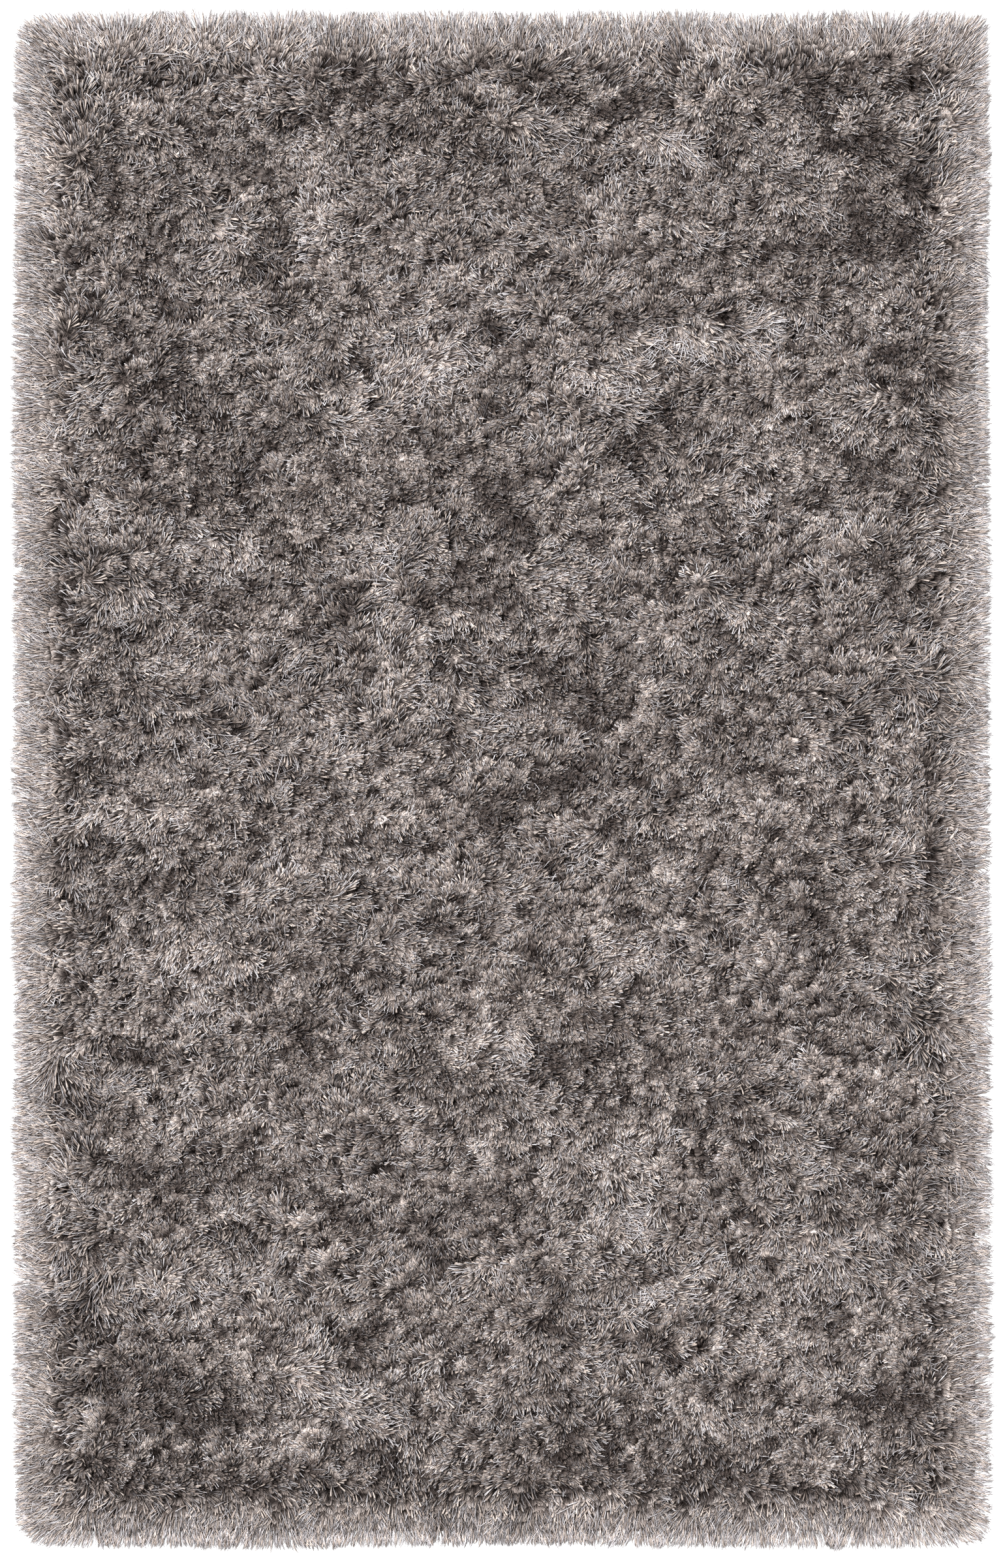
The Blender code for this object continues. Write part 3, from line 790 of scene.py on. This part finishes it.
def make_pile(shape, clumps, tufts):
    """All the strands. A yarn with several strips is cut into that many, side by side."""
    materials = {
        "taupe": taupe_yarn_material(),
        "twist": silver_yarn_material("silver_twist", True),
        "single": silver_yarn_material("silver_yarn", False),
    }
    made = []
    for yarn in YARNS:
        strands = grow_strands(yarn, clumps, tufts, shape)
        order = np.argsort(strands["root"][:, 0])
        for i, members in enumerate(np.array_split(order, yarn.strips)):
            name = f"{yarn.name}_{i + 1}" if yarn.strips > 1 else yarn.name
            strip = {label: values[members] for label, values in strands.items()}
            made.append(make_strand_piece(name, strip, yarn, materials[yarn.material]))
    return made


# ---- The lower pile and the backing ----


def mat_grid():
    """The lower pile's points in rows and columns, with its corners rounded."""
    half_x, half_y = BACKING_WIDTH / 2 + MAT_OVERHANG, BACKING_LENGTH / 2 + MAT_OVERHANG
    columns, rows = round(2 * half_x / MAT_STEP), round(2 * half_y / MAT_STEP)
    xs, ys = np.linspace(-half_x, half_x, columns + 1), np.linspace(-half_y, half_y, rows + 1)
    x, y = (grid.ravel() for grid in np.meshgrid(xs, ys))
    past_x = np.maximum(np.abs(x) - half_x + MAT_CORNER, 0)
    past_y = np.maximum(np.abs(y) - half_y + MAT_CORNER, 0)
    past = np.hypot(past_x, past_y)
    rounding = np.maximum(past_x, past_y) / np.maximum(past, 1e-6) - 1
    x, y = x + np.sign(x) * past_x * rounding, y + np.sign(y) * past_y * rounding
    return x, y, np.arange(len(x)).reshape(rows + 1, columns + 1)


def closed_mat(top, index):
    """The points and triangles of a closed body under a grid of points, level below."""
    a, b = index[:-1, :-1].ravel(), index[:-1, 1:].ravel()
    c, d = index[1:, 1:].ravel(), index[1:, :-1].ravel()
    edge = np.concatenate([index[0, :-1], index[:-1, -1], index[-1, :0:-1], index[:0:-1, 0]])
    low = len(top) + np.arange(len(edge))
    middle = len(top) + len(edge)
    edge_next, low_next = np.roll(edge, -1), np.roll(low, -1)
    wall = (edge, low, low_next), (edge, low_next, edge_next)
    floor = top[edge] * (1, 1, 0) + (0, 0, BACKING_THICKNESS)
    points = np.concatenate([top, floor, [(0, 0, BACKING_THICKNESS)]])
    return points, triangle_rows((a, b, c), (a, c, d), *wall, (low_next, low, middle))


def make_lower_pile(shape, clumps, tufts):
    """The dense lower pile: a low mat with the tufts' lumps, which shows between strands."""
    x, y, index = mat_grid()
    rng = np.random.default_rng(SEED + 9)
    turn, _, light, rim, tuft, in_pocket = group_lay(x, y, clumps, tufts)
    way_x, way_y = np.cos(turn), np.sin(turn)
    from_x, from_y = x - tufts["x"][tuft], y - tufts["y"][tuft]
    forward = (way_x * from_x + way_y * from_y) / TUFT_PITCH
    off_axis = np.hypot(from_x, from_y) / (0.5 * TUFT_PITCH)
    lump = 0.9 * forward - 0.7 * off_axis**2 + 5 * (tufts["high"][tuft] - USUAL_HEIGHT)
    inside = step_up(backing_depth(x, y), -0.01, 0.05)
    z = shape.mat_height(x, y) + MAT_RELIEF * inside * np.clip(lump, *MAT_LUMPS)
    z += MAT_ROUGHNESS * rng.normal(0, 1, len(x)) - np.where(in_pocket, MAT_POCKET_DEPTH, 0)
    top = np.stack([x, y, np.maximum(z, BACKING_THICKNESS + 0.5 * MM)], 1)
    # painted light and shade on the lower pile: lighter at each lump's front, darker at its sides,
    # at the rim and in the pockets
    light += (MAT_FRONT_LIGHT * forward - MAT_SIDE_SHADE * off_axis**2) * (1 - rim) - MAT_RIM_SHADE * rim
    light -= np.where(in_pocket, MAT_POCKET_SHADE, 0)

    points, faces = closed_mat(top, index)
    mesh = mesh_from_arrays("lower_pile", points, faces)
    spare = np.zeros(len(points) - len(top))
    ways = (np.append(way_x, spare + 1), np.append(way_y, spare), np.zeros(len(points)))
    set_values(mesh, "way", np.stack(ways, 1), "FLOAT_VECTOR", "vector")
    set_values(mesh, "light", np.append(brightness(light), spare))
    return add_piece("lower_pile", mesh, lower_pile_material())


def make_backing():
    """The woven backing: a thin flat sheet with rounded corners, level on the floor."""
    inner_x, inner_y = BACKING_WIDTH / 2 - BACKING_CORNER, BACKING_LENGTH / 2 - BACKING_CORNER
    outline = []
    for corner, (sign_x, sign_y) in enumerate(((1, 1), (-1, 1), (-1, -1), (1, -1))):
        for step in range(7):
            angle = math.pi / 2 * (corner + step / 6)
            x = sign_x * inner_x + BACKING_CORNER * math.cos(angle)
            y = sign_y * inner_y + BACKING_CORNER * math.sin(angle)
            outline.append((x, y))
    count = len(outline)
    rim = np.array(outline)
    under = np.column_stack([rim, np.zeros(count)])
    upper = np.column_stack([rim, np.full(count, BACKING_THICKNESS)])
    points = np.concatenate([under, upper, [(0, 0, 0), (0, 0, BACKING_THICKNESS)]])
    low = np.arange(count)
    after = np.roll(low, -1)
    high, high_after = low + count, after + count
    faces = triangle_rows(
        (low, after, high_after),
        (low, high_after, high),
        (after, low, 2 * count),
        (high, high_after, 2 * count + 1),
    )
    mesh = mesh_from_arrays("woven_backing", points, faces)
    piece = add_piece("woven_backing", mesh, backing_material())
    mesh.set_sharp_from_angle(angle=math.radians(40))
    return piece


# ---- Materials ----


def new_material(name, roughness, specular):
    """A material, its node tree and its shader, which has one roughness and specular level."""
    material = bpy.data.materials.new(name)
    material.use_nodes = True
    shader = material.node_tree.nodes["Principled BSDF"]
    shader.inputs["Roughness"].default_value = roughness
    shader.inputs["Specular IOR Level"].default_value = specular
    return material, material.node_tree, shader


def connect(tree, node, inputs):
    """Sets inputs of a node, by name or number, to sockets, numbers or vectors."""
    for key, value in inputs.items():
        if isinstance(value, bpy.types.NodeSocket):
            tree.links.new(value, node.inputs[key])
        else:
            node.inputs[key].default_value = value
    return node


def math_node(tree, operation, *values):
    """What a Math node makes of numbers or sockets."""
    node = tree.nodes.new("ShaderNodeMath")
    node.operation = operation
    return connect(tree, node, dict(enumerate(values))).outputs[0]


def vector_node(tree, operation, *values):
    """What a Vector Math node makes of vectors or sockets. A dot product is its Value output."""
    node = tree.nodes.new("ShaderNodeVectorMath")
    node.operation = operation
    connect(tree, node, dict(enumerate(values)))
    return node.outputs["Value" if operation == "DOT_PRODUCT" else "Vector"]


def colour_ramp(tree, factor, stops):
    """A colour ramp with (place, colour) stops, fed by factor."""
    ramp = tree.nodes.new("ShaderNodeValToRGB")
    elements = ramp.color_ramp.elements
    while len(elements) < len(stops):
        elements.new(0.5)
    for element, (place, colour) in zip(elements, stops):
        element.position = place
        element.color = (*colour, 1)
    return connect(tree, ramp, {"Fac": factor}).outputs["Color"]


def blended(tree, first, second, blend_type="MULTIPLY"):
    """Two colours over each other."""
    mix = tree.nodes.new("ShaderNodeMix")
    mix.data_type = "RGBA"
    mix.blend_type = blend_type
    return connect(tree, mix, {"Factor": 1.0, "A": first, "B": second}).outputs["Result"]


def attribute(tree, name, output="Fac"):
    """An attribute of the mesh."""
    node = tree.nodes.new("ShaderNodeAttribute")
    node.attribute_name = name
    return node.outputs[output]


def plain_noise(tree, vector, scale=1.0, detail=0.0, output="Fac"):
    """Noise over a vector, with this many lumps to each unit of it."""
    node = tree.nodes.new("ShaderNodeTexNoise")
    connect(tree, node, {"Scale": scale, "Detail": detail, "Vector": vector})
    return node.outputs[output]


def add_bump(tree, shader, height, distance, strength):
    """Bumps in the surface, as high as a socket says."""
    bump = tree.nodes.new("ShaderNodeBump")
    connect(tree, bump, {"Distance": distance, "Strength": strength, "Height": height})
    connect(tree, shader, {"Normal": bump.outputs["Normal"]})


def combed(tree):
    """The pile's painted light and shade: how much darker its colour is where its light is low."""
    return colour_ramp(tree, attribute(tree, "light"), ((0.0, (0.17, 0.16, 0.16)), (1.0, WHITE)))


def yarn_colour(tree, tones, shade):
    """One tone for each strand, darker towards its root as painted shade, and lighter or darker
    by the pile's painted light, which is light where the pile is combed flat.
    """
    tone = colour_ramp(tree, attribute(tree, "chance"), tones)
    depth = colour_ramp(tree, attribute(tree, "along"), shade)
    # the root's painted shade, then the pile's painted light and shade
    return blended(tree, blended(tree, tone, depth), combed(tree))


def fibre_stripes(tree, across, along):
    """Uneven stripes along a strand, of its own for each, as many as this round it."""
    shift = tree.nodes.new("ShaderNodeCombineXYZ")
    connect(tree, shift, {"Z": attribute(tree, "chance")})
    thread = attribute(tree, "thread", "Vector")
    stretched = vector_node(tree, "MULTIPLY", thread, (across, along, 0))
    own = vector_node(tree, "MULTIPLY", shift.outputs[0], (0, 0, FAR_APART))
    return plain_noise(tree, vector_node(tree, "ADD", stretched, own))


def taupe_yarn_material():
    """Thick, soft, matt yarn in uneven taupe, loosely spun of a few plies."""
    material, tree, shader = new_material("taupe_yarn", 0.78, 0.05)
    tones = (
        (0.0, (0.38, 0.315, 0.28)),
        (0.35, (0.64, 0.55, 0.495)),
        (0.75, (0.80, 0.70, 0.635)),
        (1.0, (0.84, 0.75, 0.685)),
    )
    # painted shade along the strand: dark towards the root, where the other strands shade it, and
    # darker again at the cut tip
    shade = (
        (0.22, (0.16, 0.15, 0.15)),
        (0.45, (0.72, 0.70, 0.69)),
        (0.7, WHITE),
        (0.91, (0.95, 0.94, 0.93)),
        (1.0, (0.34, 0.32, 0.31)),
    )
    plies = fibre_stripes(tree, 8, 1.0)
    # the dark lines between the plies are painted shade
    stripes = colour_ramp(tree, plies, ((0.38, (0.45, 0.43, 0.43)), (0.52, WHITE)))
    colour = blended(tree, yarn_colour(tree, tones, shade), stripes)
    connect(tree, shader, {"Base Color": colour})
    add_bump(tree, shader, plies, 0.0012, 0.7)
    return material


def silver_yarn_material(name, bundled):
    """Thin, shiny, cool grey yarn. A bundle shows the single fibres side by side."""
    material, tree, shader = new_material(name, 0.36, 0.30)
    tones = (
        (0.0, (0.50, 0.46, 0.47)),
        (0.5, (0.75, 0.71, 0.725)),
        (1.0, (0.84, 0.815, 0.835)),
    )
    # painted shade along the strand: dark towards the root, where the other strands shade it
    shade = ((0.18, (0.16, 0.15, 0.15)), (0.45, (0.72, 0.70, 0.70)), (0.7, WHITE))
    colour = yarn_colour(tree, tones, shade)
    if bundled:
        fibres = fibre_stripes(tree, 6, 1.3)
        # the dark lines between the fibres are painted shade
        stripes = colour_ramp(tree, fibres, ((0.36, (0.30, 0.29, 0.29)), (0.54, WHITE)))
        colour = blended(tree, colour, stripes)
        add_bump(tree, shader, fibres, 0.0015, 0.8)
    connect(tree, shader, {"Base Color": colour})
    return material


def tuft_cells(tree, level, per_metre, shift):
    """The colour of small overlapping tufts: fibres along the lay, and painted shade at each one's
    root end, where the tuft behind leans over it.
    """
    place = vector_node(tree, "ADD", level, (shift, shift, 0))
    cells = tree.nodes.new("ShaderNodeTexVoronoi")
    cells.voronoi_dimensions = "2D"
    connect(tree, cells, {"Scale": per_metre, "Vector": place})
    parts = tree.nodes.new("ShaderNodeSeparateColor")
    connect(tree, parts, {"Color": cells.outputs["Color"]})

    # each tuft's own way, a little off the lay
    turned = tree.nodes.new("ShaderNodeVectorRotate")
    turned.rotation_type = "Z_AXIS"
    angle = math_node(tree, "MULTIPLY", math_node(tree, "SUBTRACT", parts.outputs[0], 0.5), 1.1)
    way = vector_node(tree, "NORMALIZE", attribute(tree, "way", "Vector"))
    way = connect(tree, turned, {"Vector": way, "Angle": angle}).outputs["Vector"]

    # how far forward and to the side of its tuft a place is
    own = vector_node(tree, "SUBTRACT", place, cells.outputs["Position"])
    forward = vector_node(tree, "DOT_PRODUCT", own, way)
    sideways = tree.nodes.new("ShaderNodeSeparateXYZ")
    connect(tree, sideways, {0: vector_node(tree, "CROSS_PRODUCT", way, own)})

    thread = tree.nodes.new("ShaderNodeCombineXYZ")
    fibres = {
        "X": math_node(tree, "MULTIPLY", sideways.outputs["Z"], FIBRES_ACROSS),
        "Y": math_node(tree, "MULTIPLY", forward, FIBRES_ALONG),
        "Z": math_node(tree, "MULTIPLY", parts.outputs[1], FAR_APART),
    }
    fibres = plain_noise(tree, connect(tree, thread, fibres).outputs[0])
    # the dark lines between the fibres are painted shade
    stripes = colour_ramp(tree, fibres, ((0.43, (0.05, 0.05, 0.05)), (0.57, WHITE)))
    # painted shade, dark at the root end of each tuft
    rise = math_node(tree, "MULTIPLY_ADD", forward, per_metre, 0.5)
    root_shade_stops = ((0.0, (0.05, 0.045, 0.04)), (0.45, (0.48, 0.47, 0.47)), (0.9, WHITE))
    painted_root_shade = colour_ramp(tree, rise, root_shade_stops)
    tones = (
        (0.0, (0.34, 0.28, 0.255)),
        (0.5, (0.68, 0.585, 0.535)),
        (0.75, (0.72, 0.635, 0.595)),
        (1.0, (0.72, 0.65, 0.62)),
    )
    tone = colour_ramp(tree, parts.outputs[2], tones)
    return blended(tree, blended(tree, tone, stripes), painted_root_shade)


def lower_pile_material():
    """The lower pile: two sizes of tufts over each other, with fibres that follow the lay."""
    material, tree, shader = new_material("lower_pile", 0.9, 0.0)
    place = tree.nodes.new("ShaderNodeTexCoord").outputs["Object"]
    level = vector_node(tree, "MULTIPLY", place, (1, 1, 0))
    warp = plain_noise(tree, level, 70, 1.0, "Color")
    warp = vector_node(tree, "MULTIPLY", warp, (0.006, 0.006, 0))
    level = vector_node(tree, "ADD", level, warp)
    large, small = tuft_cells(tree, level, 72, 0.0), tuft_cells(tree, level, 105, 3.7)
    colour = blended(tree, large, small, "LIGHTEN")
    # the pile's painted light and shade, as on the strands
    connect(tree, shader, {"Base Color": blended(tree, colour, combed(tree))})
    add_bump(tree, shader, colour, 0.003, 0.8)
    return material


def backing_material():
    """Plain-woven backing cloth in a natural tone."""
    material, tree, shader = new_material("woven_backing", 0.85, 0.5)
    place = tree.nodes.new("ShaderNodeTexCoord").outputs["Object"]
    threads = []
    for direction in ("X", "Y"):
        wave = tree.nodes.new("ShaderNodeTexWave")
        wave.bands_direction = direction
        connect(tree, wave, {"Scale": 130, "Distortion": 0.6, "Vector": place})
        threads.append(wave.outputs["Fac"])
    weave = math_node(tree, "MULTIPLY", *threads)
    stops = ((0.0, (0.30, 0.26, 0.21)), (0.6, (0.52, 0.46, 0.38)))
    connect(tree, shader, {"Base Color": colour_ramp(tree, weave, stops)})
    add_bump(tree, shader, weave, 0.0008, 0.7)
    return material


# ---- The stage ----


def make_floor():
    """A large pale floor, just under the rug."""
    mesh = bpy.data.meshes.new("floor")
    half = FLOOR_SIZE / 2
    corners = [(-half, -half, 0), (half, -half, 0), (half, half, 0), (-half, half, 0)]
    mesh.from_pydata(corners, [], [(0, 1, 2, 3)])
    floor = new_object("floor", mesh)
    floor.location.z = -0.5 * MM
    material, _, shader = new_material("pale_floor", 0.9, 0.5)
    shader.inputs["Base Color"].default_value = (0.9, 0.9, 0.9, 1)
    mesh.materials.append(material)


def make_light():
    """One very soft light from above and a little to the upper left, and an even surround."""
    sun = bpy.data.lights.new("soft_sun", "SUN")
    sun.energy = SUN_ENERGY
    sun.angle = math.radians(SUN_WIDTH)
    lamp = new_object("soft_sun", sun)
    lamp.rotation_euler = (math.radians(-SUN_TILT), math.radians(-SUN_TILT), 0)
    world = bpy.data.worlds.new("surround")
    world.use_nodes = True
    background = world.node_tree.nodes["Background"]
    background.inputs["Color"].default_value = (1, 1, 1, 1)
    background.inputs["Strength"].default_value = SURROUND_STRENGTH
    bpy.context.scene.world = world
    bpy.context.scene.view_settings.view_transform = "Standard"


def make_camera():
    """Straight above, with a long lens, framed as the photograph is."""
    lens = bpy.data.cameras.new("camera")
    seen_height = PHOTO_HEIGHT * MM_PER_PIXEL * MM
    lens.sensor_width = SENSOR_WIDTH
    lens.lens = SENSOR_WIDTH * CAMERA_HEIGHT / seen_height
    lens.clip_end = 100
    camera = new_object("camera", lens)
    off_x = (PHOTO_WIDTH / 2 - RUG_MIDDLE_X) * MM_PER_PIXEL * MM
    off_y = (RUG_MIDDLE_Y - PHOTO_HEIGHT / 2) * MM_PER_PIXEL * MM
    camera.location = (off_x, off_y, CAMERA_HEIGHT)
    bpy.context.scene.camera = camera


make_camera()
make_light()
make_floor()
pile_shape = PileShape(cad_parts["shag_pile"])
backing = make_backing()
group_rng = np.random.default_rng(SEED)
pile_clumps, pile_tufts = make_clumps(group_rng), make_tufts(group_rng)
lower_pile = make_lower_pile(pile_shape, pile_clumps, pile_tufts)
strips = make_pile(pile_shape, pile_clumps, pile_tufts)

triangles = {piece.name: len(piece.data.polygons) for piece in (backing, lower_pile, *strips)}
print("triangles", triangles, sum(triangles.values()))
